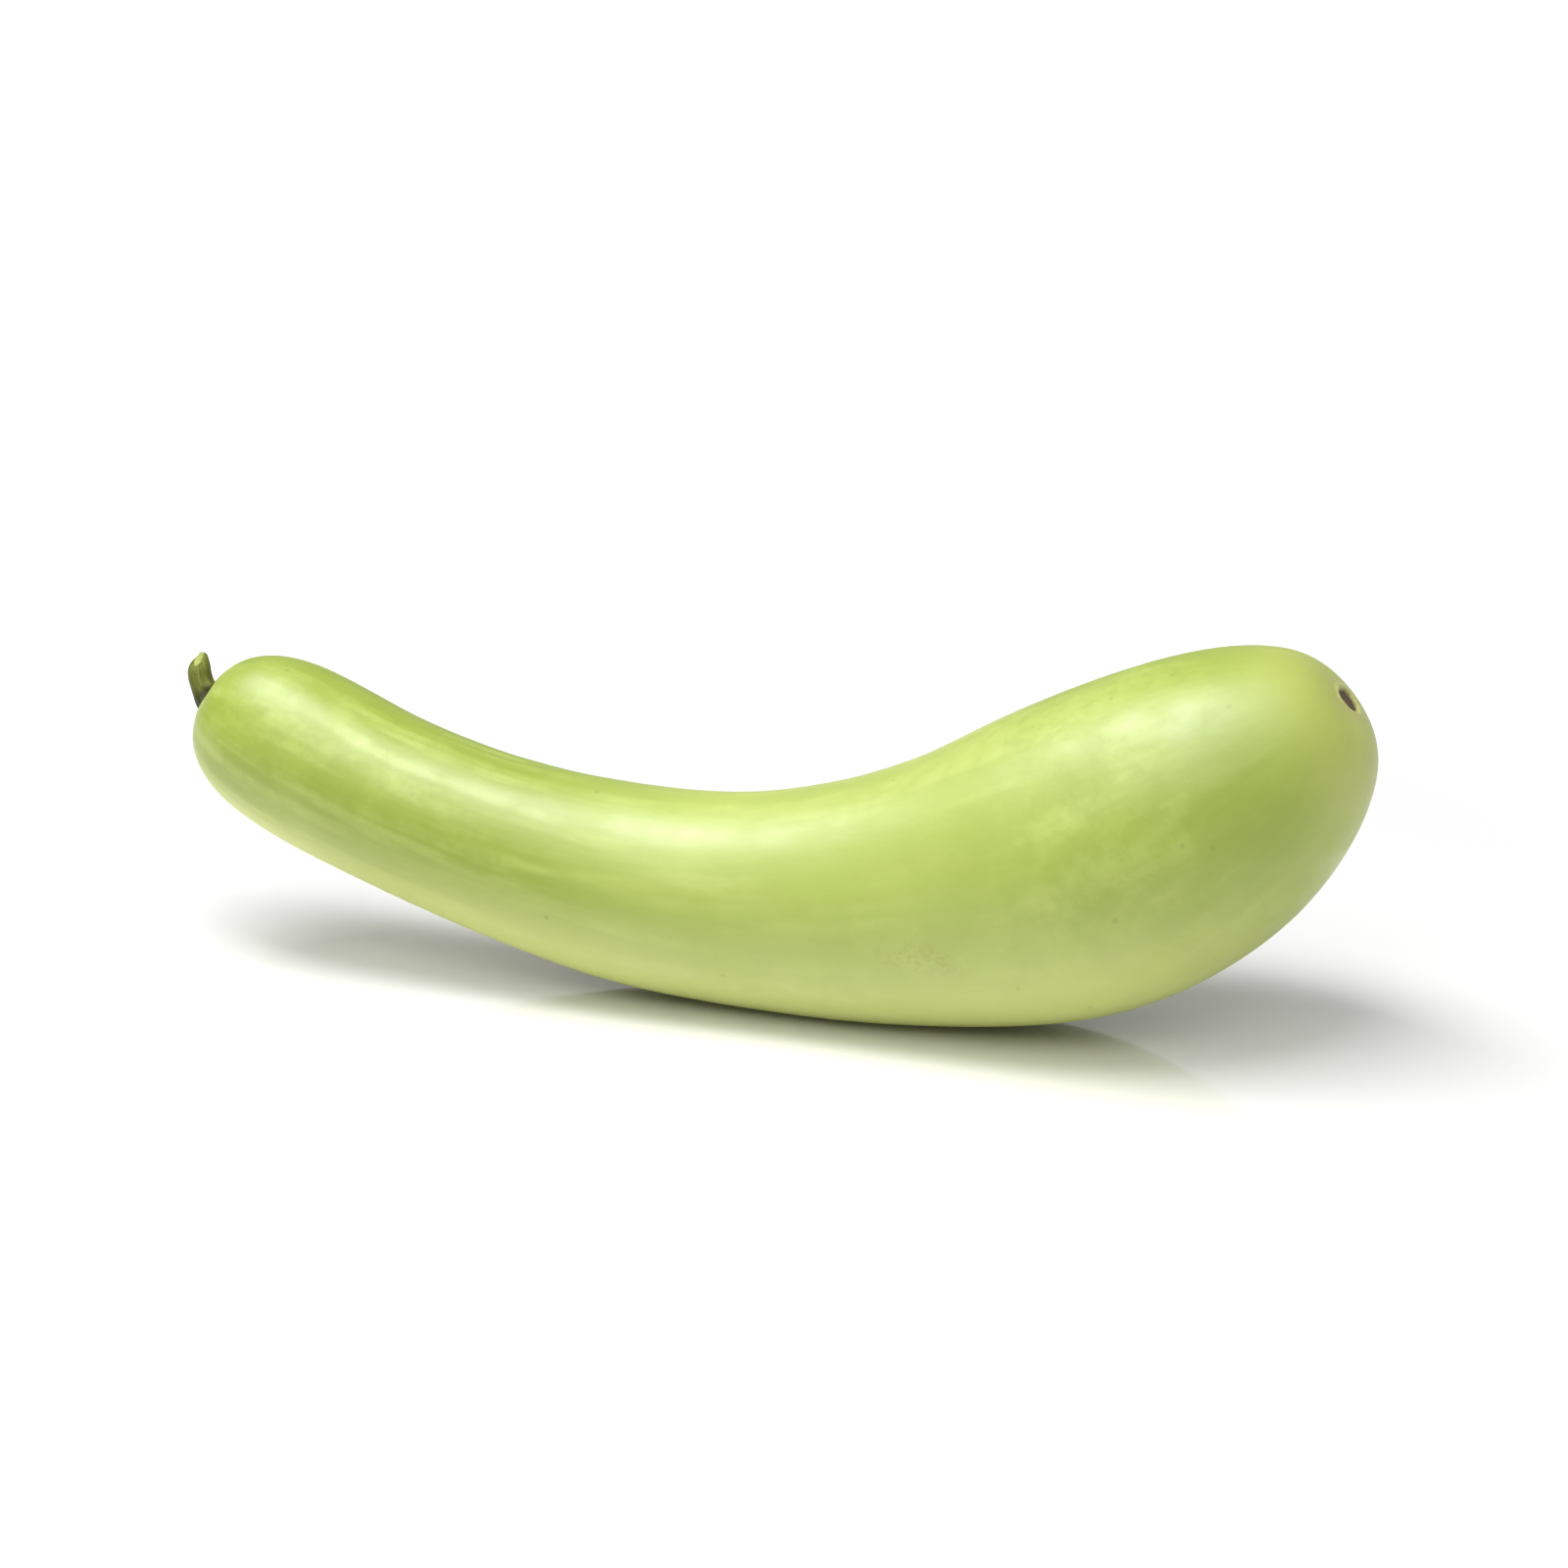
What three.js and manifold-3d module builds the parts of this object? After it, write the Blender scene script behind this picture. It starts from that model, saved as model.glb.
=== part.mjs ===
// A bottle gourd lying on its belly: one bent fruit, and the short ridged stalk at its head.
// Millimetres, +Z up. +X runs from the stalk to the blossom end, and the origin is the
// middle of the small flat spot that the fruit rests on.
import * as THREE from 'three';
import { mergeVertices } from 'three/addons/utils/BufferGeometryUtils.js';
import Module from 'manifold-3d';

const wasm = await Module();
wasm.setup();

const degree = Math.PI / 180;

// The fruit. Its length is measured along the bent middle line.
const fruitLength = 380;

// How it grows from the stalk to the blossom end, at equal steps of that length: its radius
// before the ends close, and how far the middle line climbs and turns to the front, in degrees.
const growth = [
	{ radius: 31, climb: - 26, turn: 0 }, // crown, at the stalk
	{ radius: 26.5, climb: - 22.5, turn: 0 }, // head
	{ radius: 27, climb: - 15.5, turn: 0 }, // neck
	{ radius: 30, climb: - 7.5, turn: 0 }, // nape
	{ radius: 33, climb: 3, turn: 0 }, // middle
	{ radius: 39.5, climb: 12.5, turn: 0 }, // flank
	{ radius: 48.5, climb: 24, turn: 0 }, // belly
	{ radius: 51.5, climb: 37, turn: 4 }, // base
	{ radius: 48.5, climb: 40, turn: 12 }, // blossom end
];

// Each end closes over its own length. A fuller end is blunter: 2 is an ellipse.
const headClosing = 57;
const headFullness = 2.5;
const baseClosing = 156;
const baseFullness = 2.6;

// How it lies: leaning back from upright, on a flat spot this deep.
const leanBack = 13;
const restDepth = 1.5;

// The stalk sits in a shallow seat, and a shallow scar marks where the blossom was.
const seatDepth = 1.2;
const seatGap = 0.3;
const scarRadius = 4.2;
const scarDepth = 0.9;
const lipWidth = 1;

// The stalk leaves the seat straight, turns up past its elbow and is cut aslant.
const footRadius = 4.2;
const stalkRadius = 3.5;
const tipRadius = 2.9;
const footHeight = 2.6;
const elbowReach = 4.8;
const stalkReach = 13;
const stalkRise = 11.8;
const cutDistance = 12;
const cutTilt = 19;
const ridgeCount = 5;
const footRidge = 0.4;
const stalkRidge = 0.2;

// Facets, and the steps that the middle line is walked in.
const fruitRings = 46;
const fruitSides = 40;
const stalkRings = 14;
const stalkSides = 40;
const lineSteps = 96;
const flatTolerance = 0.001;

// The growth at any share of the length: x is the radius, y the climb and z the turn.
const growthCurve = new THREE.CatmullRomCurve3(
	growth.map( ( { radius, climb, turn } ) => new THREE.Vector3( radius, climb, turn ) ),
	false,
	'catmullrom',
	0.5
);

function headingAt( share ) {

	const { y: climb, z: turn } = growthCurve.getPoint( share );
	const heading = new THREE.Vector3( 1, 0, 0 );
	heading.applyAxisAngle( new THREE.Vector3( 0, 0, 1 ), - turn * degree );
	heading.applyAxisAngle( new THREE.Vector3( 0, 1, 0 ), - climb * degree );
	return heading;

}

// The middle line, walked one short step at a time along its heading.
function makeMiddleLine() {

	const points = [ new THREE.Vector3() ];

	for ( let step = 0; step < lineSteps; step ++ ) {

		const stride = headingAt( ( step + 0.5 ) / lineSteps ).multiplyScalar( fruitLength / lineSteps );
		points.push( points[ step ].clone().add( stride ) );

	}

	return new THREE.CatmullRomCurve3( points, false, 'catmullrom', 0.5 );

}

const middleLine = makeMiddleLine();

// A cross-section's centre and axes at a distance along the fruit.
function fruitFrameAt( distance ) {

	const share = distance / fruitLength;
	const forward = headingAt( share );
	const climb = growthCurve.getPoint( share ).y * degree;
	const up = new THREE.Vector3( - Math.sin( climb ), 0, Math.cos( climb ) );
	const across = new THREE.Vector3().crossVectors( forward, up );
	return { centre: middleLine.getPoint( share ), forward, up, across };

}

// Lays a lathed shape, whose Y axis is its length, along a line of cross-sections.
function bendAlong( lathe, profile, frameAt, radiusScale = () => 1 ) {

	const frames = profile.map( ( { y } ) => frameAt( y ) );
	const position = lathe.attributes.position;
	const point = new THREE.Vector3();

	for ( let index = 0; index < position.count; index ++ ) {

		const { centre, up, across } = frames[ index % profile.length ];
		point.fromBufferAttribute( position, index );
		const scale = radiusScale( point );
		const bent = centre.clone();
		bent.addScaledVector( across, point.x * scale ).addScaledVector( up, point.z * scale );
		position.setXYZ( index, bent.x, bent.y, bent.z );

	}

	return lathe;

}

// How much of its full radius an end has reached, and the distance where it has a given share.
function closingAt( distance, closing, fullness ) {

	const remaining = 1 - Math.min( distance / closing, 1 );
	return ( 1 - remaining ** fullness ) ** ( 1 / fullness );

}

function distanceAt( share, closing, fullness ) {

	return closing * ( 1 - ( 1 - share ** fullness ) ** ( 1 / fullness ) );

}

function makeSolid( geometry ) {

	const bare = geometry.clone();
	bare.deleteAttribute( 'normal' );
	bare.deleteAttribute( 'uv' );
	const merged = mergeVertices( bare );
	return new wasm.Manifold( new wasm.Mesh( {
		numProp: 3,
		vertProperties: new Float32Array( merged.attributes.position.array ),
		triVerts: new Uint32Array( merged.index.array )
	} ) );

}

function cutAway( geometry, tool ) {

	const { vertProperties, triVerts } = makeSolid( geometry ).subtract( makeSolid( tool ) ).getMesh();
	const result = new THREE.BufferGeometry();
	result.setAttribute( 'position', new THREE.BufferAttribute( new Float32Array( vertProperties ), 3 ) );
	result.setIndex( new THREE.BufferAttribute( new Uint32Array( triVerts ), 1 ) );
	result.computeVertexNormals();
	return result;

}

// The seat is wide enough for the foot's ridges.
const seatRadius = footRadius + footRidge + seatGap;

function makeFruit() {

	const crown = growth.at( 0 ).radius;
	const base = growth.at( - 1 ).radius;
	const seatLip = seatRadius + lipWidth;
	const scarLip = scarRadius + lipWidth;
	const widestLip = Math.max( seatLip, scarLip );
	const seatLipPlace = distanceAt( seatLip / crown, headClosing, headFullness );
	const scarLipPlace = distanceAt( scarLip / base, baseClosing, baseFullness );

	const profile = [
		new THREE.Vector2( 0, seatDepth ),
		new THREE.Vector2( seatRadius, seatDepth ),
		new THREE.Vector2( seatLip, seatLipPlace ),
	];

	// The rings stand closer together towards both ends.
	for ( let ring = 1; ring < fruitRings; ring ++ ) {

		const distance = fruitLength * ( 1 - Math.cos( Math.PI * ring / fruitRings ) ) / 2;
		const head = closingAt( distance, headClosing, headFullness );
		const tail = closingAt( fruitLength - distance, baseClosing, baseFullness );
		const radius = growthCurve.getPoint( distance / fruitLength ).x * head * tail;
		if ( radius > widestLip + lipWidth ) profile.push( new THREE.Vector2( radius, distance ) );

	}

	profile.push(
		new THREE.Vector2( scarLip, fruitLength - scarLipPlace ),
		new THREE.Vector2( scarRadius, fruitLength - scarDepth ),
		new THREE.Vector2( 0, fruitLength - scarDepth )
	);

	return bendAlong( new THREE.LatheGeometry( profile, fruitSides ), profile, fruitFrameAt );

}

function makeStalk() {

	const head = fruitFrameAt( 0 );
	const out = head.forward.clone().negate();
	const root = head.centre.clone().addScaledVector( out, seatGap - seatDepth );
	const elbow = root.clone().addScaledVector( out, elbowReach );
	const tip = root.clone().addScaledVector( out, stalkReach ).addScaledVector( head.up, stalkRise );
	const line = new THREE.QuadraticBezierCurve3( root, elbow, tip );
	const length = line.getLength();

	const stalkFrameAt = ( distance ) => {

		const forward = line.getTangentAt( distance / length );
		const across = head.across;
		const up = new THREE.Vector3().crossVectors( across, forward );
		return { centre: line.getPointAt( distance / length ), up, across };

	};

	const footShare = ( distance ) => Math.max( 0, 1 - distance / footHeight ) ** 2;
	const profile = [ new THREE.Vector2( 0, 0 ) ];

	for ( let ring = 0; ring <= stalkRings; ring ++ ) {

		const distance = length * ring / stalkRings;
		const plain = THREE.MathUtils.lerp( stalkRadius, tipRadius, ring / stalkRings );
		const radius = plain + ( footRadius - plain ) * footShare( distance );
		profile.push( new THREE.Vector2( radius, distance ) );

	}

	profile.push( new THREE.Vector2( 0, length ) );

	// The ridges run along the stalk, and stand out most at its foot.
	const ridged = ( { x, y, z } ) => {

		const radius = Math.hypot( x, z );
		const ridge = THREE.MathUtils.lerp( stalkRidge, footRidge, footShare( y ) );
		return radius > 0 ? 1 + ridge * Math.cos( ridgeCount * Math.atan2( x, z ) ) / radius : 1;

	};

	const stalk = bendAlong( new THREE.LatheGeometry( profile, stalkSides ), profile, stalkFrameAt, ridged );

	// The slanting cut: everything past its plane goes.
	const blade = new THREE.BoxGeometry( length, 2 * length, 2 * length );
	blade.translate( cutDistance + length / 2, 0, 0 );
	const tilt = cutTilt * degree;
	const cutNormal = out.clone().multiplyScalar( Math.cos( tilt ) );
	cutNormal.addScaledVector( head.up, Math.sin( tilt ) );
	const cutAcross = new THREE.Vector3().crossVectors( cutNormal, head.across );
	blade.applyMatrix4( new THREE.Matrix4().makeBasis( cutNormal, head.across, cutAcross ).setPosition( root ) );
	return cutAway( stalk, blade );

}

// The fruit leans back, and what would reach below the rest height is cut flat.
const wholeFruit = makeFruit().rotateX( - leanBack * degree );
wholeFruit.computeBoundingBox();
const fruitBox = wholeFruit.boundingBox;
const restHeight = fruitBox.min.z + restDepth;
const groundSize = 2 * fruitLength;
const ground = new THREE.BoxGeometry( groundSize, groundSize, groundSize );
ground.translate( 0, 0, restHeight - groundSize / 2 );
const fruitGeometry = cutAway( wholeFruit, ground );
const stalkGeometry = makeStalk().rotateX( - leanBack * degree );

// The middle of the flat spot is the origin.
const restSpot = new THREE.Box3();
const corner = new THREE.Vector3();

for ( let index = 0; index < fruitGeometry.attributes.position.count; index ++ ) {

	corner.fromBufferAttribute( fruitGeometry.attributes.position, index );
	if ( corner.z < restHeight + flatTolerance ) restSpot.expandByPoint( corner );

}

const fruit = new THREE.Mesh( fruitGeometry, new THREE.MeshStandardMaterial( {
	color: 0xb7cd6b,
	roughness: 0.42,
	metalness: 0
} ) );
fruit.name = 'gourd_fruit';

const stalk = new THREE.Mesh( stalkGeometry, new THREE.MeshStandardMaterial( {
	color: 0x7c8436,
	roughness: 0.68,
	metalness: 0
} ) );
stalk.name = 'stem';

const group = new THREE.Group();
group.add( fruit, stalk );
group.position.copy( restSpot.getCenter( new THREE.Vector3() ) ).negate();

export default group;
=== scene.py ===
import bpy
import math
from mathutils import Matrix, Quaternion, Vector


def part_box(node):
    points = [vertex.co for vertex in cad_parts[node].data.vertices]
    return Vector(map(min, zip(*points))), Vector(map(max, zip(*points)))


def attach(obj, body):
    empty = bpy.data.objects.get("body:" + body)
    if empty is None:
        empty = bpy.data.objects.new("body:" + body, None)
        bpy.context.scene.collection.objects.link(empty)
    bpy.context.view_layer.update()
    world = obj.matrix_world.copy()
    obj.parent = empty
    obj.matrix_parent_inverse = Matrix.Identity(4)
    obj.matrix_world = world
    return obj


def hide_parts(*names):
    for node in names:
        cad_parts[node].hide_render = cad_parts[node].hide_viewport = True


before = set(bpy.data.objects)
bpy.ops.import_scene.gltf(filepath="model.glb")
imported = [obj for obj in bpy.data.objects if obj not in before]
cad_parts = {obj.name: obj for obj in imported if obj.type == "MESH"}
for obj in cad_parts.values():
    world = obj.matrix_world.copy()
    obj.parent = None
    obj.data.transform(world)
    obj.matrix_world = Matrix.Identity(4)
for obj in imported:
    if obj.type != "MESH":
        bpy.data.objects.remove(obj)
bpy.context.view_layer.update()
mm = 0.001


# The gourd, in millimetres and degrees. The rows of its growth stand at even steps from the stalk to the
# blossom end: radius before the ends close, climb of the middle line, turn to the front.
gourd = {
    "length": 380,
    "growth": [
        (31, -26, 0),
        (26.5, -22.5, 0),
        (27, -15.5, 0),
        (30, -7.5, 0),
        (33, 3, 0),
        (39.5, 12.5, 0),
        (48.5, 24, 0),
        (51.5, 37, 4),
        (48.5, 40, 12),
    ],
    "headClosing": 57,
    "headFullness": 2.5,
    "baseClosing": 156,
    "baseFullness": 2.6,
    "leanBack": 13,
    "restDepth": 1.5,
    "rings": 470,
    "sides": 168,
    "seatRadius": 4.9,
    "seatDepth": 1.2,
    "seatFolds": 5,
    "collarHeight": 0.3,
    "pucker": 0.55,
    "shoulder": 0.9,  # the hollow round the stalk
    "scarRadius": 4.1,
    "scarDepth": 1.0,
    "scarLip": 0.3,
    "scarOffset": 2.5,
    "scarWander": 3.4,  # slow unevenness of the scar's edge
    "scarFray": 1.6,  # quick unevenness of the scar's edge
    "scarCrumble": 0.9,
    "dimple": 1.5,  # the hollow round the scar
    "swell": 0.55,  # slow unevenness of the flesh
    "ripple": 0.1,  # small unevenness of the rind
    "flutes": 0.07,  # faint ridges along the fruit
    "roughness": (0.4, 0.54),  # of the shiniest and the dullest patches
    "gloss": 0.68,
    "waxWeight": 0.2,
    "waxRoughness": 0.36,
    "deepGreen": (124, 142, 36),
    "freshGreen": (142, 158, 58),
    "paleGreen": (172, 184, 98),
    # painted bounce light and reflection from the floor, on the lower side
    "paintedFloorBounce": (198, 205, 114),
    # painted bounce light from the floor along the very bottom
    "paintedBounceBottom": (200, 208, 120),
    "blossomEnd": (180, 184, 104),
    "markPlace": (34, -39, 33),
    "markColour": (150, 140, 60),
    "pore": (92, 104, 34),
    "collar": (180, 190, 108),
    # painted shade in the seat under the stalk's foot
    "seat": (112, 112, 44),
    "scarStain": (158, 152, 92),
    "scarRim": (192, 188, 124),
    "scarDark": (40, 28, 10),
    "scarLight": (84, 64, 30),
}


# Short names for the nodes that are used most.

def connect(tree, source, socket):
    if isinstance(source, bpy.types.NodeSocket):
        tree.links.new(source, socket)
    else:
        socket.default_value = source


def addNode(tree, kind, sockets=None, **settings):
    made = tree.nodes.new(kind)
    for name, value in settings.items():
        setattr(made, name, value)
    for name, value in (sockets or {}).items():
        connect(tree, value, made.inputs[name])
    return made


def calc(tree, operation, first, second=0.0):
    return addNode(tree, "ShaderNodeMath", {0: first, 1: second}, operation=operation).outputs[0]


def plus(tree, first, second):
    return calc(tree, "ADD", first, second)


def minus(tree, first, second):
    return calc(tree, "SUBTRACT", first, second)


def times(tree, first, second):
    return calc(tree, "MULTIPLY", first, second)


def vectorCalc(tree, operation, first, second):
    made = addNode(tree, "ShaderNodeVectorMath", {0: first}, operation=operation)
    connect(tree, second, made.inputs["Scale" if operation == "SCALE" else 1])
    return made.outputs[0]


def lengthOf(tree, vector):
    return addNode(tree, "ShaderNodeVectorMath", {0: vector}, operation="LENGTH").outputs["Value"]


def joinAxes(tree, x, y, z=0.0):
    return addNode(tree, "ShaderNodeCombineXYZ", {"X": x, "Y": y, "Z": z}).outputs[0]


def fade(tree, value, low, high, start, end):
    sockets = {"Value": value, "From Min": low, "From Max": high, "To Min": start, "To Max": end}
    return addNode(tree, "ShaderNodeMapRange", sockets, interpolation_type="SMOOTHSTEP").outputs[0]


def noise(tree, place, scale, detail=2.0, roughness=0.5):
    sockets = {"Vector": place, "Scale": scale, "Detail": detail, "Roughness": roughness}
    return addNode(tree, "ShaderNodeTexNoise", sockets).outputs[0]


def unevenness(tree, place, scale, detail, height):
    return times(tree, minus(tree, noise(tree, place, scale, detail), 0.5), height)


# The middle line, and the cross-section at each step along it.

def catmullRom(values, share):
    last = len(values) - 1
    spot = min(max(share * last, 0.0), last - 1e-9)
    here = int(spot)
    t = spot - here
    before = values[here - 1] if here > 0 else 2 * values[0] - values[1]
    after = values[here + 2] if here + 2 <= last else 2 * values[-1] - values[-2]
    first = values[here]
    second = values[here + 1]
    slopeIn = (second - before) / 2
    slopeOut = (after - first) / 2
    cubic = 2 * first - 2 * second + slopeIn + slopeOut
    square = -3 * first + 3 * second - 2 * slopeIn - slopeOut
    return ((cubic * t + square) * t + slopeIn) * t + first


def growthAt(share):
    return [catmullRom([row[column] for row in gourd["growth"]], share) for column in range(3)]


def closingAt(distance, closing, fullness):
    remaining = 1 - min(max(distance, 0) / closing, 1)
    return (1 - remaining ** fullness) ** (1 / fullness)


def sectionAxes(share):
    radius, climb, turn = growthAt(share)
    climb = math.radians(climb)
    turn = math.radians(turn)
    level = math.cos(turn)
    forward = Vector((level * math.cos(climb), -math.sin(turn), level * math.sin(climb)))
    upward = Vector((-math.sin(climb), 0, math.cos(climb)))
    return radius, forward, upward, forward.cross(upward)


def walkSections(rings):
    lean = Matrix.Rotation(-math.radians(gourd["leanBack"]), 3, "X")
    strides = 4  # from one ring to the next
    sections = []
    centre = Vector((0, 0, 0))
    reached = 0.0
    for ring in range(rings):
        step = ring / (rings - 1)
        share = step - math.sin(math.tau * step) / math.tau  # closest together at both ends
        stride = (share - reached) / strides
        for walked in range(strides):
            forward = sectionAxes(reached + stride * (walked + 0.5))[1]
            centre = centre + forward * stride * gourd["length"]
        reached = share
        radius, forward, upward, across = sectionAxes(share)
        distance = share * gourd["length"]
        radius *= closingAt(distance, gourd["headClosing"], gourd["headFullness"])
        radius *= closingAt(gourd["length"] - distance, gourd["baseClosing"], gourd["baseFullness"])
        sections.append({
            "centre": lean @ centre * mm,
            "forward": lean @ forward,
            "upward": lean @ upward,
            "across": lean @ across,
            "radius": radius * mm,
            "share": share,
        })
    return sections


# The lowest point goes just under the floor, and the middle of the box goes where the frame has it.

def settleSections(sections):
    def extent(section, axis):
        return section["radius"] * math.hypot(section["upward"][axis], section["across"][axis])
    low = [min(s["centre"][axis] - extent(s, axis) for s in sections) for axis in range(3)]
    high = [max(s["centre"][axis] + extent(s, axis) for s in sections) for axis in range(3)]
    fruitLow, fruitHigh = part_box("gourd_fruit")
    shift = Vector((
        (fruitLow[0] + fruitHigh[0] - low[0] - high[0]) / 2,
        (fruitLow[1] + fruitHigh[1] - low[1] - high[1]) / 2,
        -low[2] - gourd["restDepth"] * mm,
    ))
    for section in sections:
        section["centre"] = section["centre"] + shift


sections = walkSections(gourd["rings"])
settleSections(sections)
print("middle line walked,", len(sections), "sections")


# The fruit's skin: a node tree wraps a grid round the sections, then sinks the seat and the scar.

def sectionsAsLine():
    mesh = bpy.data.meshes.new("gourdLine")
    edges = [(index, index + 1) for index in range(len(sections) - 1)]
    mesh.from_pydata([s["centre"] for s in sections], edges, [])
    for name in ("forward", "upward", "across"):
        column = mesh.attributes.new(name, "FLOAT_VECTOR", "POINT")
        column.data.foreach_set("vector", [v for s in sections for v in s[name]])
    for name in ("radius", "share"):
        column = mesh.attributes.new(name, "FLOAT", "POINT")
        column.data.foreach_set("value", [s[name] for s in sections])
    line = bpy.data.objects.new("gourdLine", mesh)
    bpy.context.scene.collection.objects.link(line)
    return line


# Each size that the tree takes in, and its name in the dictionary.
skinSizes = {
    "Seat Radius": "seatRadius",
    "Seat Depth": "seatDepth",
    "Collar Height": "collarHeight",
    "Pucker": "pucker",
    "Shoulder": "shoulder",
    "Scar Radius": "scarRadius",
    "Scar Depth": "scarDepth",
    "Scar Lip": "scarLip",
    "Scar Offset": "scarOffset",
    "Scar Wander": "scarWander",
    "Scar Fray": "scarFray",
    "Scar Crumble": "scarCrumble",
    "Dimple": "dimple",
    "Swell": "swell",
    "Ripple": "ripple",
    "Flutes": "flutes",
}


def makeTree(name, sockets):
    tree = bpy.data.node_groups.new(name, "GeometryNodeTree")
    tree.interface.new_socket("Geometry", in_out="INPUT", socket_type="NodeSocketGeometry")
    for label, kind in sockets.items():
        tree.interface.new_socket(label, in_out="INPUT", socket_type="NodeSocket" + kind)
    tree.interface.new_socket("Geometry", in_out="OUTPUT", socket_type="NodeSocketGeometry")
    return tree, addNode(tree, "NodeGroupInput").outputs


def storeAttribute(tree, geometry, name, value, kind="FLOAT"):
    sockets = {"Geometry": geometry, "Name": name, "Value": value}
    kinds = {"data_type": kind, "domain": "POINT"}
    return addNode(tree, "GeometryNodeStoreNamedAttribute", sockets, **kinds).outputs[0]


# A grid whose rows are the rings and whose columns are the sides, and what each of its points knows.

def wrapGrid(tree, given):
    columns = plus(tree, given["Sides"], 1)
    grid = addNode(tree, "GeometryNodeMeshGrid", {"Vertices X": given["Rings"], "Vertices Y": columns})
    index = addNode(tree, "GeometryNodeInputIndex").outputs[0]
    ring = calc(tree, "FLOOR", calc(tree, "DIVIDE", plus(tree, index, 0.5), columns))
    side = minus(tree, index, times(tree, ring, columns))
    angle = times(tree, calc(tree, "DIVIDE", side, given["Sides"]), -math.tau)

    def atRing(value, kind):
        sockets = {"Geometry": given["Geometry"], "Value": value, "Index": ring}
        return addNode(tree, "GeometryNodeSampleIndex", sockets, data_type=kind, domain="POINT").outputs[0]

    def stored(name, kind="FLOAT_VECTOR"):
        attribute = addNode(tree, "GeometryNodeInputNamedAttribute", {"Name": name}, data_type=kind)
        return atRing(attribute.outputs[0], kind)

    centre = atRing(addNode(tree, "GeometryNodeInputPosition").outputs[0], "FLOAT_VECTOR")
    radius = stored("radius", "FLOAT")
    share = stored("share", "FLOAT")
    cosine = calc(tree, "COSINE", angle)
    sine = calc(tree, "SINE", angle)
    upward = vectorCalc(tree, "SCALE", stored("upward"), cosine)
    across = vectorCalc(tree, "SCALE", stored("across"), sine)
    outward = vectorCalc(tree, "ADD", upward, across)
    isHead = calc(tree, "LESS_THAN", share, 0.5)
    spot = {
        "angle": angle,
        "cosine": cosine,
        "sine": sine,
        "radius": radius,
        "along": times(tree, share, gourd["length"] * mm),
        "forward": stored("forward"),
        "outward": outward,
        "smooth": vectorCalc(tree, "ADD", centre, vectorCalc(tree, "SCALE", outward, radius)),
        "isHead": isHead,
        "isBase": minus(tree, 1, isHead),
    }
    return grid.outputs[0], spot


# Swellings of the flesh, ripples of the rind, and faint ridges: all of them fade at the ends.

def shapeRelief(tree, given, spot):
    ridgeX = times(tree, spot["cosine"], 2.6)
    ridgeY = times(tree, spot["sine"], 2.6)
    ridgeSpace = joinAxes(tree, ridgeX, ridgeY, times(tree, spot["along"], 3))
    swell = unevenness(tree, spot["smooth"], 16, 1.5, given["Swell"])
    flutes = unevenness(tree, ridgeSpace, 1.3, 1, given["Flutes"])
    ripple = unevenness(tree, spot["smooth"], 75, 1.5, given["Ripple"])
    relief = plus(tree, plus(tree, swell, flutes), ripple)
    fullness = fade(tree, spot["radius"], 0.004, 0.024, 0, 2)
    return times(tree, relief, fullness)


# The seat under the stalk: a sunken floor, and a collar that the stalk's ribs pucker.

def shapeSeat(tree, given, spot):
    seat = given["Seat Radius"]
    radius = spot["radius"]
    wide = times(tree, seat, 3.4)
    folds = calc(tree, "COSINE", times(tree, spot["angle"], gourd["seatFolds"]))
    foldDepth = times(tree, times(tree, folds, given["Pucker"]), 0.5)
    folded = plus(tree, seat, foldDepth)
    floor = fade(tree, radius, times(tree, folded, 0.82), times(tree, folded, 1.3), 1, 0)
    rise = fade(tree, radius, folded, times(tree, folded, 1.55), 0, 1)
    fall = fade(tree, radius, times(tree, seat, 1.5), wide, 1, 0)
    collar = times(tree, times(tree, rise, fall), minus(tree, given["Collar Height"], foldDepth))
    shoulder = times(tree, fade(tree, radius, seat, wide, 1, 0), given["Shoulder"])
    sunk = times(tree, floor, given["Seat Depth"])
    shift = plus(tree, minus(tree, sunk, collar), shoulder)
    near = fade(tree, radius, times(tree, seat, 1.1), times(tree, seat, 4), 1, 0)
    masks = {"paintedSeatShadeMask": floor, "collarMask": near}
    return times(tree, shift, spot["isHead"]), masks


# The blossom scar: a crumbly sunken disc inside a thin raised lip, in the middle of a shallow hollow.

def shapeScar(tree, given, spot):
    scar = given["Scar Radius"]
    smooth = spot["smooth"]
    sideways = plus(tree, times(tree, spot["sine"], spot["radius"]), given["Scar Offset"])
    away = lengthOf(tree, joinAxes(tree, times(tree, spot["cosine"], spot["radius"]), sideways))
    fray = unevenness(tree, smooth, 420, 2, given["Scar Fray"])
    wander = unevenness(tree, smooth, 140, 1, given["Scar Wander"])
    edge = plus(tree, plus(tree, away, fray), wander)
    floor = fade(tree, edge, times(tree, scar, 0.78), times(tree, scar, 1.08), 1, 0)
    rise = fade(tree, edge, times(tree, scar, 0.95), times(tree, scar, 1.25), 0, 1)
    fall = fade(tree, edge, times(tree, scar, 1.1), times(tree, scar, 1.65), 1, 0)
    lip = times(tree, rise, fall)
    crumble = unevenness(tree, smooth, 900, 3, given["Scar Crumble"])
    sunk = times(tree, floor, plus(tree, given["Scar Depth"], crumble))
    hollow = times(tree, fade(tree, away, scar, times(tree, scar, 6), 1, 0), given["Dimple"])
    shift = minus(tree, minus(tree, times(tree, lip, given["Scar Lip"]), sunk), hollow)
    stain = fade(tree, edge, scar, times(tree, scar, 3.2), 0.5, 0)
    masks = {"scarMask": floor, "scarRing": lip, "scarStain": stain}
    return times(tree, shift, spot["isBase"]), masks


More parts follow.
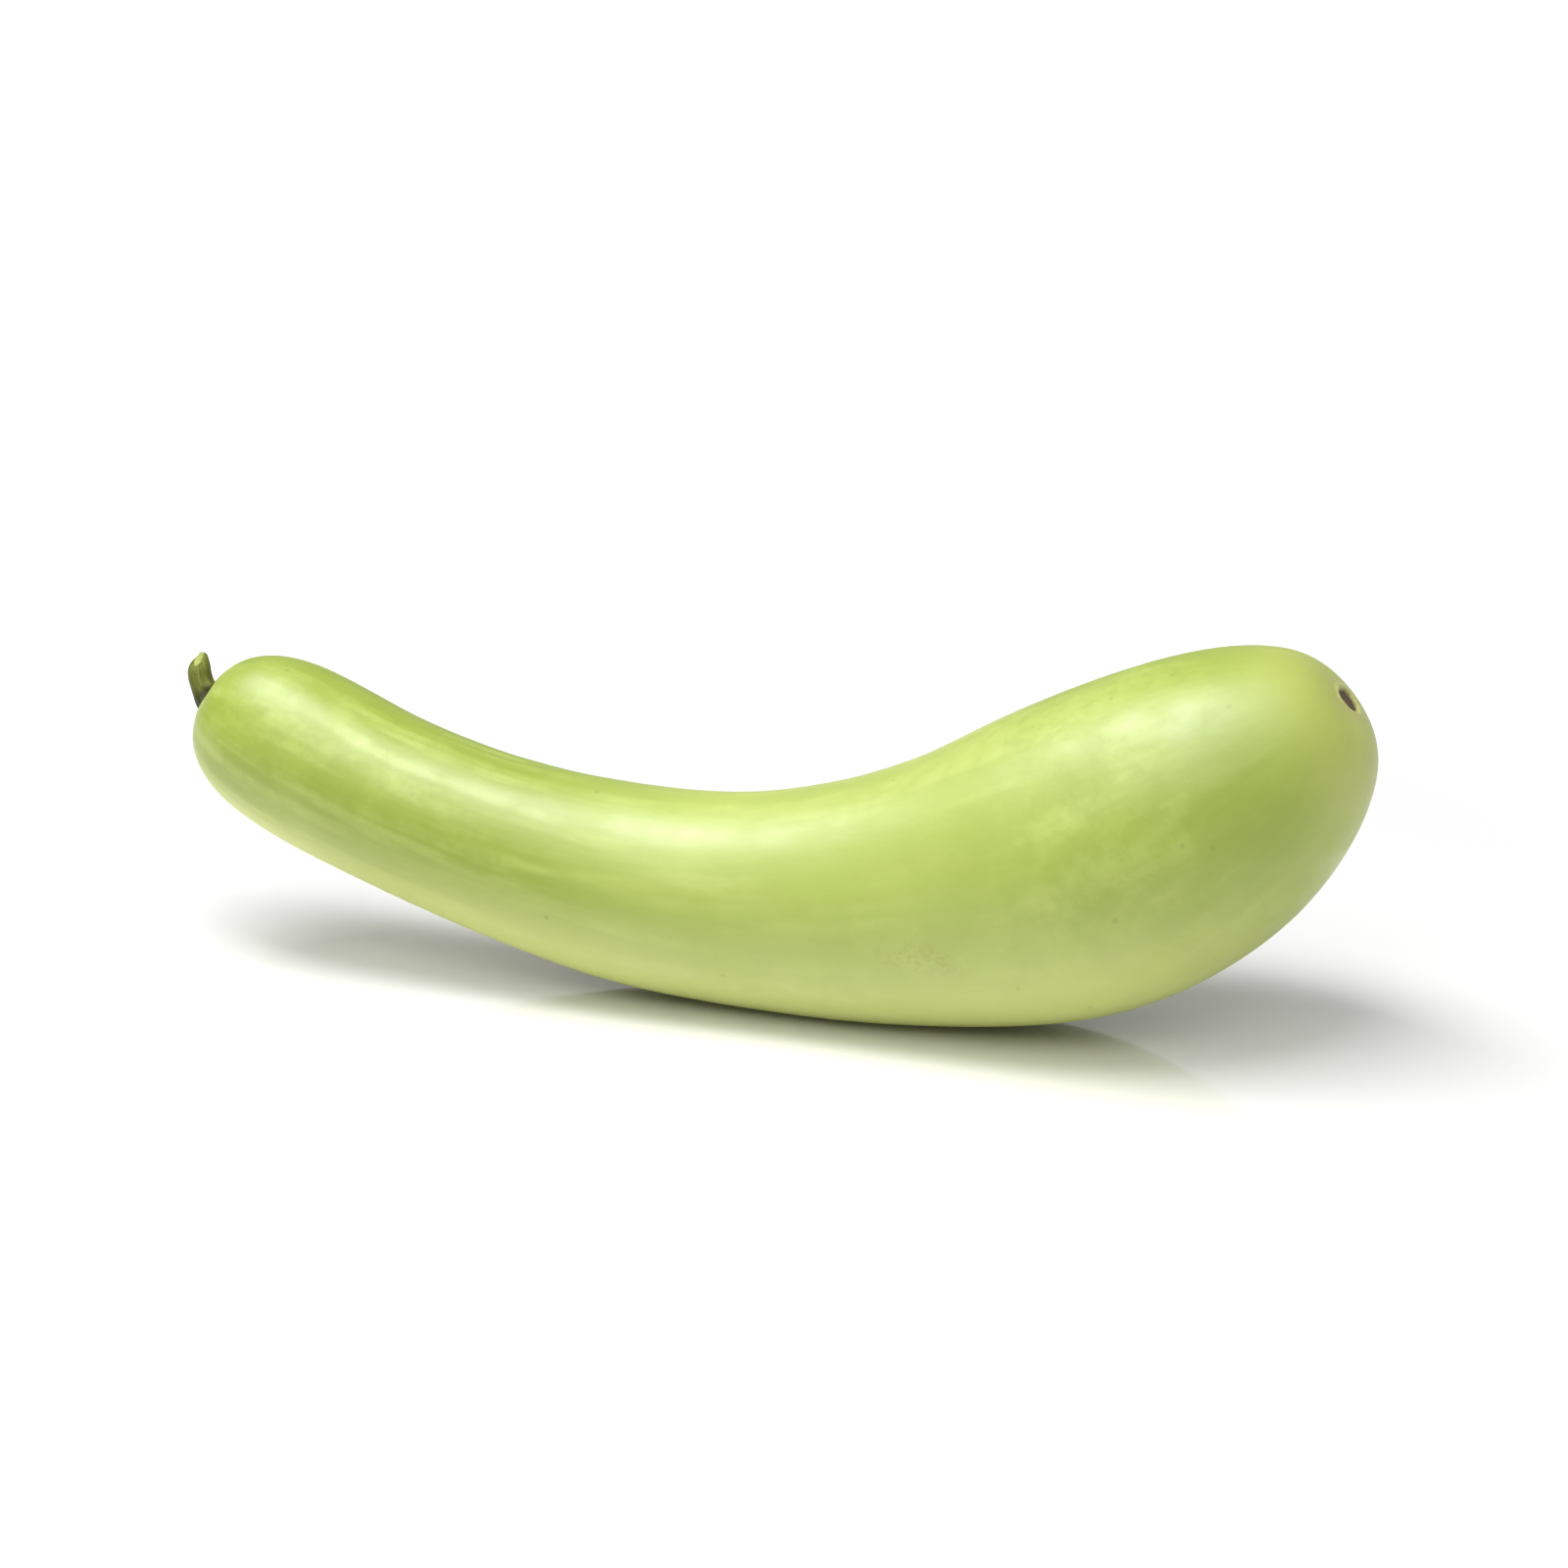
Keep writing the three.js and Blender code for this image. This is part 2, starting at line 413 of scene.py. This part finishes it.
def buildSkinTree():
    sockets = {"Rings": "Int", "Sides": "Int"}
    sockets.update({label: "Float" for label in skinSizes})
    sockets["Skin"] = "Material"
    tree, given = makeTree("gourdSkinTree", sockets)
    grid, spot = wrapGrid(tree, given)
    seatShift, seatMasks = shapeSeat(tree, given, spot)
    scarShift, scarMasks = shapeScar(tree, given, spot)
    shift = plus(tree, seatShift, scarShift)

    relief = vectorCalc(tree, "SCALE", spot["outward"], shapeRelief(tree, given, spot))
    place = vectorCalc(tree, "ADD", spot["smooth"], relief)
    place = vectorCalc(tree, "ADD", place, vectorCalc(tree, "SCALE", spot["forward"], shift))
    place = vectorCalc(tree, "MAXIMUM", place, (-10, -10, 0))  # flat where it rests
    wrapped = addNode(tree, "GeometryNodeSetPosition", {"Geometry": grid, "Position": place})

    # skin space follows the surface: round the fruit in x and y, along it in z
    skinSpace = joinAxes(tree, spot["cosine"], spot["sine"], spot["along"])
    skin = storeAttribute(tree, wrapped.outputs[0], "skinSpace", skinSpace, "FLOAT_VECTOR")
    for masks, end in ((seatMasks, spot["isHead"]), (scarMasks, spot["isBase"])):
        for name, mask in masks.items():
            skin = storeAttribute(tree, skin, name, times(tree, mask, end))

    closed = addNode(tree, "GeometryNodeMergeByDistance", {"Geometry": skin, "Distance": 0.002 * mm})
    smoothed = addNode(tree, "GeometryNodeSetShadeSmooth", {"Geometry": closed.outputs[0]})
    real = addNode(tree, "GeometryNodeRealizeInstances", {"Geometry": smoothed.outputs[0]})
    finish = {"Geometry": real.outputs[0], "Material": given["Skin"]}
    coloured = addNode(tree, "GeometryNodeSetMaterial", finish)
    addNode(tree, "NodeGroupOutput", {"Geometry": coloured.outputs[0]})
    return tree


def growWith(tree, carrier, values, name):
    modifier = carrier.modifiers.new(name, "NODES")
    modifier.node_group = tree
    for item in tree.interface.items_tree:
        if item.item_type == "SOCKET" and item.in_out == "INPUT" and item.name in values:
            modifier[item.identifier] = values[item.name]
    graph = bpy.context.evaluated_depsgraph_get()
    grown = bpy.data.meshes.new_from_object(carrier.evaluated_get(graph))
    piece = bpy.data.objects.new(name, grown)
    bpy.context.scene.collection.objects.link(piece)
    carrier.modifiers.remove(modifier)
    bpy.data.objects.remove(carrier)
    return piece


# Colours are kept as they look on screen and turned to light values here.

def screenColour(shade):
    light = []
    for value in shade:
        value /= 255
        light.append(value / 12.92 if value <= 0.04045 else ((value + 0.055) / 1.055) ** 2.4)
    return (*light, 1)


def startMaterial(name, roughness, gloss):
    material = bpy.data.materials.new(name)
    material.use_nodes = True
    shader = material.node_tree.nodes["Principled BSDF"]
    shader.inputs["Roughness"].default_value = roughness
    shader.inputs["Specular IOR Level"].default_value = gloss
    return material, material.node_tree, shader


def objectPlace(tree):
    return addNode(tree, "ShaderNodeTexCoord").outputs["Object"]


def readAttribute(tree, name, output="Fac"):
    return addNode(tree, "ShaderNodeAttribute", attribute_name=name).outputs[output]


def stretch(tree, vector, scale):
    return addNode(tree, "ShaderNodeMapping", {"Vector": vector, "Scale": scale}).outputs[0]


def blendColour(tree, amount, first, second):
    made = addNode(tree, "ShaderNodeMix", data_type="RGBA")
    connect(tree, amount, made.inputs[0])
    connect(tree, first, made.inputs[6])
    connect(tree, second, made.inputs[7])
    return made.outputs[2]


def addBump(tree, shader, height, strength, distance):
    bump = addNode(tree, "ShaderNodeBump", {"Height": height, "Strength": strength, "Distance": distance})
    tree.links.new(bump.outputs[0], shader.inputs["Normal"])


def buildSkinMaterial():
    material, tree, shader = startMaterial("gourdSkin", gourd["roughness"][0], gourd["gloss"])
    place = objectPlace(tree)
    space = readAttribute(tree, "skinSpace", "Vector")
    axes = addNode(tree, "ShaderNodeSeparateXYZ", {"Vector": space}).outputs
    upwards = axes["X"]  # 1 on top of the fruit, -1 below it
    along = axes["Z"]  # metres from the stalk

    def paint(colour, amount, shade):
        return blendColour(tree, amount, colour, screenColour(gourd[shade]))

    # broad patches of paler and deeper green, then lengthwise streaks, then clouds and fine mottling
    patches = noise(tree, place, 11, 3, 0.55)
    colour = paint(screenColour(gourd["deepGreen"]), fade(tree, patches, 0.4, 0.6, 0, 1), "freshGreen")
    streaks = noise(tree, stretch(tree, space, (4, 4, 13)), 1, 2.5, 0.55)
    streaks = times(tree, fade(tree, streaks, 0.42, 0.66, 0, 0.42), fade(tree, along, 0.3, 0.37, 1, 0.2))
    colour = paint(colour, streaks, "paleGreen")
    threads = noise(tree, stretch(tree, space, (24, 24, 60)), 1, 3)
    colour = paint(colour, fade(tree, threads, 0.45, 0.8, 0, 0.09), "paleGreen")
    clouds = noise(tree, place, 42, 3, 0.6)
    colour = paint(colour, fade(tree, clouds, 0.44, 0.62, 0, 0.5), "deepGreen")
    mottle = noise(tree, place, 210, 4, 0.65)
    colour = paint(colour, fade(tree, mottle, 0.44, 0.64, 0, 0.32), "deepGreen")

    # painted floor bounce and reflection make the lower side pale and yellowish, least at both ends, and
    # the middle of the length is paler
    beforeBelly = fade(tree, along, 0.26, 0.34, 1, 0.2)
    pastHead = fade(tree, along, 0.02, 0.13, 0.3, 1)
    wavering = plus(tree, upwards, times(tree, minus(tree, patches, 0.5), 0.5))
    # painted bounce light and reflection from the floor on the lower side
    paintedBounceAmount = fade(tree, wavering, -0.05, -0.95, 0, 0.68)
    colour = paint(colour, times(tree, paintedBounceAmount, times(tree, beforeBelly, pastHead)), "paintedFloorBounce")
    middle = times(tree, fade(tree, along, 0.1, 0.17, 0, 0.4), fade(tree, along, 0.24, 0.32, 1, 0))
    colour = paint(colour, middle, "paleGreen")
    # painted bounce light from the floor, strongest along the very bottom
    paintedBounceLow = fade(tree, upwards, -0.55, -0.98, 0, 0.75)
    colour = paint(colour, times(tree, paintedBounceLow, beforeBelly), "paintedBounceBottom")
    colour = paint(colour, fade(tree, along, 0.35, 0.379, 0, 0.4), "blossomEnd")

    # a faint brownish rub mark low on the front
    fromMark = vectorCalc(tree, "SUBTRACT", place, [v * mm for v in gourd["markPlace"]])
    nearMark = lengthOf(tree, vectorCalc(tree, "MULTIPLY", fromMark, (48, 90, 110)))
    flecks = noise(tree, stretch(tree, place, (420, 620, 620)), 1, 3)
    mark = times(tree, fade(tree, nearMark, 0.1, 1, 0.42, 0), fade(tree, flecks, 0.48, 0.62, 0, 1))
    colour = paint(colour, mark, "markColour")

    # small dark pores, few and scattered
    pores = addNode(tree, "ShaderNodeTexVoronoi", {"Vector": place, "Scale": 110})
    dot = fade(tree, pores.outputs["Distance"], 0.03, 0.13, 1, 0)
    lot = addNode(tree, "ShaderNodeSeparateColor", {"Color": pores.outputs["Color"]}).outputs[0]
    chosen = calc(tree, "GREATER_THAN", lot, 0.78)
    colour = paint(colour, times(tree, times(tree, dot, chosen), 0.3), "pore")

    # paler skin puckered round the stalk, painted shade in the seat under its foot, and the scar's dry
    # tissue
    colour = paint(colour, times(tree, readAttribute(tree, "collarMask"), 0.5), "collar")
    colour = paint(colour, readAttribute(tree, "paintedSeatShadeMask"), "seat")
    colour = paint(colour, readAttribute(tree, "scarStain"), "scarStain")
    patchyRim = fade(tree, noise(tree, place, 260, 2), 0.36, 0.64, 0.04, 0.34)
    colour = paint(colour, times(tree, readAttribute(tree, "scarRing"), patchyRim), "scarRim")
    grain = noise(tree, place, 1400, 3, 0.6)
    tissue = blendColour(tree, grain, screenColour(gourd["scarDark"]), screenColour(gourd["scarLight"]))
    scarMask = readAttribute(tree, "scarMask")
    colour = blendColour(tree, scarMask, colour, tissue)
    tree.links.new(colour, shader.inputs["Base Color"])

    # satin wax, duller in patches and on the scar
    rough = fade(tree, noise(tree, place, 60, 4, 0.65), 0.3, 0.7, *gourd["roughness"])
    rough = plus(tree, rough, times(tree, scarMask, 0.4))
    tree.links.new(rough, shader.inputs["Roughness"])
    shader.inputs["Coat Weight"].default_value = gourd["waxWeight"]
    shader.inputs["Coat Roughness"].default_value = gourd["waxRoughness"]
    height = plus(tree, times(tree, mottle, 0.8), times(tree, noise(tree, place, 900, 2), 0.25))
    addBump(tree, shader, height, 0.2, 0.4 * mm)
    return material


skinValues = {"Rings": gourd["rings"], "Sides": gourd["sides"], "Skin": buildSkinMaterial()}
for label, size in skinSizes.items():
    skinValues[label] = gourd[size] * mm

fruit = growWith(buildSkinTree(), sectionsAsLine(), skinValues, "gourd_skin")
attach(fruit, "root")
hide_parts("gourd_fruit")
print("fruit grown,", len(fruit.data.polygons), "faces")


# The stalk, in millimetres and degrees: five ribs that flare at the foot, a bend upwards, and a
# slanting cut whose rim is rounded.
stalk = {
    "footRadius": 4.9,
    "radius": 4.0,
    "tipRadius": 3.25,
    "footHeight": 6.5,
    "elbowReach": 7.2,
    "reach": 11.5,
    "rise": 12.5,
    "seatDepth": 0.9,
    "sink": 0.5,
    "cutDistance": 12.4,
    "cutTilt": 50,
    "cutTowards": 30,
    "rimHeight": 0.24,  # share of the stalk that the rounded rim takes
    "rimShare": 0.56,  # how far the rim draws in
    "pithDepth": 0.45,
    "cutEdge": 0.12,  # the cut's raised edge
    "cutGrain": 0.07,  # unevenness of the cut
    "footShade": 9,  # how far up the painted shade at the foot fades
    "ribs": 5,
    "ribTurn": 0.35,
    "rib": 0.24,
    "footRib": 1.5,
    "lumps": 0.1,
    "fibres": 0.06,
    "rings": 64,
    "sides": 90,
    "capRings": 9,
    "lineSteps": 200,
    "roughness": 0.62,
    "gloss": 0.22,
    "barkDark": (76, 82, 24),
    "barkLight": (106, 114, 42),
    "blotch": (86, 76, 34),
    # painted shade where the stalk's foot meets the fruit
    "foot": (40, 44, 10),
    "pithDark": (128, 136, 64),
    "pithLight": (166, 174, 102),
}


def stalkLine():
    head = sections[0]
    out = -head["forward"]
    root = head["centre"] - out * (stalk["seatDepth"] + stalk["sink"]) * mm
    elbow = root + out * (stalk["elbowReach"] + stalk["sink"]) * mm
    tip = root + out * (stalk["reach"] + stalk["sink"]) * mm + head["upward"] * stalk["rise"] * mm

    def at(t):
        point = root * (1 - t) ** 2 + elbow * 2 * t * (1 - t) + tip * t ** 2
        forward = ((elbow - root) * (1 - t) + (tip - elbow) * t).normalized()
        return point, head["across"].cross(forward), head["across"]
    return at, root, out


def stalkSurface(at):
    steps = stalk["lineSteps"]
    lengths = [0.0]
    for step in range(1, steps + 1):
        stride = at(step / steps)[0] - at((step - 1) / steps)[0]
        lengths.append(lengths[-1] + stride.length / mm)

    def surface(t, angle):
        point, upward, across = at(t)
        distance = lengths[min(int(t * steps + 0.5), steps)]
        foot = max(0, 1 - distance / stalk["footHeight"]) ** 1.6
        plain = stalk["radius"] + (stalk["tipRadius"] - stalk["radius"]) * t
        rib = 0.5 + 0.5 * math.cos(stalk["ribs"] * angle + stalk["ribTurn"] * (1 + t))
        radius = plain + (stalk["footRadius"] - plain) * foot
        radius += stalk["rib"] * (2 * rib - 1) + stalk["footRib"] * foot * rib ** 1.7
        radius += stalk["lumps"] * math.sin(3.1 * distance / 4 + 2 * angle)
        radius += stalk["fibres"] * math.sin(11 * angle + distance)
        return point + (upward * math.cos(angle) + across * math.sin(angle)) * radius * mm
    return surface, lengths[-1]


# The plane of the cut, tilted upwards and turned to the front.

def cutPlane(root, out):
    head = sections[0]
    tilt = math.radians(stalk["cutTilt"])
    towards = math.radians(stalk["cutTowards"])
    axis = out * math.cos(tilt) + head["upward"] * math.sin(tilt)
    point = root + axis * (stalk["cutDistance"] + stalk["sink"]) * mm
    normal = axis * math.cos(towards) + head["across"] * math.sin(towards)
    return point, normal


def whereCut(surface, angle, cutPoint, cutNormal):
    low = 0.0
    high = 1.0
    for halving in range(26):
        middle = (low + high) / 2
        if (surface(middle, angle) - cutPoint).dot(cutNormal) < 0:
            low = middle
        else:
            high = middle
    return low


def buildStalk():
    at, root, out = stalkLine()
    surface, length = stalkSurface(at)
    cutPoint, cutNormal = cutPlane(root, out)
    sides = stalk["sides"]
    rings = stalk["rings"]
    capRings = stalk["capRings"]
    angles = [math.tau * side / sides for side in range(sides)]
    ends = [whereCut(surface, angle, cutPoint, cutNormal) for angle in angles]
    points = []
    columns = {"fibreSpace": [], "cutMask": [], "paintedFootShadeMask": []}

    def addPoint(point, fibre, cut, foot):
        points.append(point)
        columns["fibreSpace"].extend(fibre)
        columns["cutMask"].append(cut)
        columns["paintedFootShadeMask"].append(foot)

    # the side, ring by ring from the seat to the cut
    for ring in range(rings + 1):
        nearRim = max(0, 1 - (rings - ring) / rings / stalk["rimHeight"])
        rounding = stalk["rimShare"] * (1 - math.sqrt(max(0, 1 - nearRim ** 2.2)))
        for angle, end in zip(angles, ends):
            t = end * ring / rings
            point = surface(t, angle).lerp(at(t)[0], rounding)
            fibre = (math.cos(angle), math.sin(angle), t)
            addPoint(point, fibre, 0.0, max(0.0, 1 - t * length / stalk["footShade"]))

    # the cut face, ring by ring to its middle, where the pith has sunk
    rim = points[-sides:]
    centre = sum(rim, Vector()) / sides
    for ring in range(1, capRings + 1):
        share = 1 - ring / capRings
        sinking = stalk["pithDepth"] * mm * (1 - share ** 2.5)
        edge = stalk["cutEdge"] * mm if ring == 1 else 0
        grainHeight = stalk["cutGrain"] * mm if ring > 1 else 0
        for side in range(sides if ring < capRings else 1):
            angle = angles[side]
            grain = grainHeight * math.sin(7 * angle + ring * 2.1)
            point = centre + (rim[side] - centre) * share - cutNormal * (sinking - grain - edge)
            addPoint(point, (math.cos(angle) * share, math.sin(angle) * share, 2.0), 1.0, 0.0)
    addPoint(at(0)[0], (0, 0, 0), 0.0, 1.0)

    # faces between the rings, then fans that close the cut face and the hidden foot
    pairs = [(side, (side + 1) % sides) for side in range(sides)]
    wholeRings = rings + capRings
    last = (wholeRings - 1) * sides
    faces = []
    for here in range(0, last, sides):
        ahead = here + sides
        faces.extend((here + a, here + b, ahead + b, ahead + a) for a, b in pairs)
    faces.extend((last + a, last + b, wholeRings * sides) for a, b in pairs)
    faces.extend((b, a, len(points) - 1) for a, b in pairs)

    mesh = bpy.data.meshes.new("gourd_stalk")
    mesh.from_pydata(points, [], faces)
    for name, values in columns.items():
        kind, field = ("FLOAT_VECTOR", "vector") if name == "fibreSpace" else ("FLOAT", "value")
        mesh.attributes.new(name, kind, "POINT").data.foreach_set(field, values)
    mesh.shade_smooth()
    piece = bpy.data.objects.new("gourd_stalk", mesh)
    bpy.context.scene.collection.objects.link(piece)
    return piece


def buildStalkMaterial():
    material, tree, shader = startMaterial("gourdStalk", stalk["roughness"], stalk["gloss"])
    place = objectPlace(tree)
    space = readAttribute(tree, "fibreSpace", "Vector")
    shades = {name: screenColour(stalk[name]) for name in ("barkDark", "barkLight", "blotch", "foot")}
    fibre = noise(tree, stretch(tree, space, (6, 6, 1.8)), 1, 4, 0.6)
    colour = blendColour(tree, fade(tree, fibre, 0.35, 0.68, 0, 1), shades["barkDark"], shades["barkLight"])
    blotch = fade(tree, noise(tree, place, 420, 3), 0.5, 0.72, 0, 0.5)
    colour = blendColour(tree, blotch, colour, shades["blotch"])
    # painted shade darkens the foot where the stalk meets the fruit
    foot = fade(tree, readAttribute(tree, "paintedFootShadeMask"), 0.12, 0.66, 0, 0.92)
    colour = blendColour(tree, foot, colour, shades["foot"])
    grain = noise(tree, place, 1500, 2)
    pith = blendColour(tree, grain, screenColour(stalk["pithDark"]), screenColour(stalk["pithLight"]))
    colour = blendColour(tree, readAttribute(tree, "cutMask"), colour, pith)
    tree.links.new(colour, shader.inputs["Base Color"])
    height = plus(tree, fibre, times(tree, noise(tree, place, 1800, 2), 0.3))
    addBump(tree, shader, height, 0.5, 0.3 * mm)
    return material


stalkPiece = buildStalk()
stalkPiece.data.materials.append(buildStalkMaterial())
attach(stalkPiece, "root")
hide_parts("stem")
print("stalk built,", len(stalkPiece.data.polygons), "faces")


# The studio, in metres and watts: a pale floor, a soft light overhead, a wide fill in front, and the world.
studio = {
    "floorSize": 24,
    "floorShade": (0.84, 0.84, 0.84, 1),
    "floorRoughness": 0.12,
    "floorGloss": 0.8,
    "lacquerRoughness": 0.06,
    "lacquerIor": 2.1,
    "nearGlow": (0.24, 0.65, 0, 1),  # from, to, and how strong at each
    "farGlow": (0.8, 4, 0, 1.2),
    "worldLight": 0.42,
    "keyPower": 23.5,
    "keySize": (1.25, 0.5),
    "keyPlace": (-0.28, -0.13, 1.25),
    "keySpin": 35,
    "fillPower": 13,
    "fillSize": (1.8, 0.9),
    "fillPlace": (0.1, -1.05, 1.25),
    "fillSpin": 0,
    "lightsAimAt": (0, 0, 0.05),
}


def layFloor():
    half = studio["floorSize"] / 2
    corners = [(-half, -half, 0), (half, -half, 0), (half, half, 0), (-half, half, 0)]
    mesh = bpy.data.meshes.new("floor")
    mesh.from_pydata(corners, [], [(0, 1, 2, 3)])
    material, tree, shader = startMaterial("paleFloor", studio["floorRoughness"], studio["floorGloss"])
    shader.inputs["Base Color"].default_value = studio["floorShade"]
    shader.inputs["Coat Weight"].default_value = 1
    shader.inputs["Coat Roughness"].default_value = studio["lacquerRoughness"]
    shader.inputs["Coat IOR"].default_value = studio["lacquerIor"]
    # a glow that grows with distance keeps the far floor as bright as the lit floor round the gourd
    away = lengthOf(tree, objectPlace(tree))
    glow = plus(tree, fade(tree, away, *studio["nearGlow"]), fade(tree, away, *studio["farGlow"]))
    shader.inputs["Emission Color"].default_value = (1, 1, 1, 1)
    tree.links.new(glow, shader.inputs["Emission Strength"])
    mesh.materials.append(material)
    floor = bpy.data.objects.new("floor", mesh)
    bpy.context.scene.collection.objects.link(floor)


def hangLight(name):
    lamp = bpy.data.lights.new(name, "AREA")
    lamp.shape = "RECTANGLE"
    lamp.energy = studio[name + "Power"]
    lamp.size, lamp.size_y = studio[name + "Size"]
    holder = bpy.data.objects.new(name, lamp)
    holder.location = studio[name + "Place"]
    aim = (Vector(studio["lightsAimAt"]) - holder.location).to_track_quat("-Z", "Y")
    spin = Quaternion((0, 0, 1), math.radians(studio[name + "Spin"]))
    holder.rotation_euler = (aim @ spin).to_euler()
    bpy.context.scene.collection.objects.link(holder)


def lightWorld():
    world = bpy.data.worlds.new("studio")
    world.use_nodes = True
    background = world.node_tree.nodes["Background"]
    background.inputs["Color"].default_value = (1, 1, 1, 1)
    background.inputs["Strength"].default_value = studio["worldLight"]
    bpy.context.scene.world = world
    bpy.context.scene.view_settings.view_transform = "Standard"


# The camera, in millimetres and degrees: it stands this far from its target, turned and raised.
view = {
    "target": (-21.5, -0.6, 31.9),
    "distance": 1300,
    "turn": 15.5,
    "height": 20,
    "lens": 99.8,
    "sensorWidth": 36,
    "shift": (0.0088, 0.0743),
}


def placeCamera():
    camera = bpy.data.cameras.new("camera")
    camera.lens = view["lens"]
    camera.sensor_width = view["sensorWidth"]
    camera.shift_x, camera.shift_y = view["shift"]
    camera.clip_start = 0.01
    camera.clip_end = 60
    turn = math.radians(view["turn"])
    height = math.radians(view["height"])
    level = math.cos(height)
    towards = Vector((-math.sin(turn) * level, math.cos(turn) * level, -math.sin(height)))
    holder = bpy.data.objects.new("camera", camera)
    holder.location = Vector(view["target"]) * mm - towards * view["distance"] * mm
    holder.rotation_euler = towards.to_track_quat("-Z", "Y").to_euler()
    bpy.context.scene.collection.objects.link(holder)
    bpy.context.scene.camera = holder


layFloor()
hangLight("key")
hangLight("fill")
lightWorld()
placeCamera()
print("studio lit")
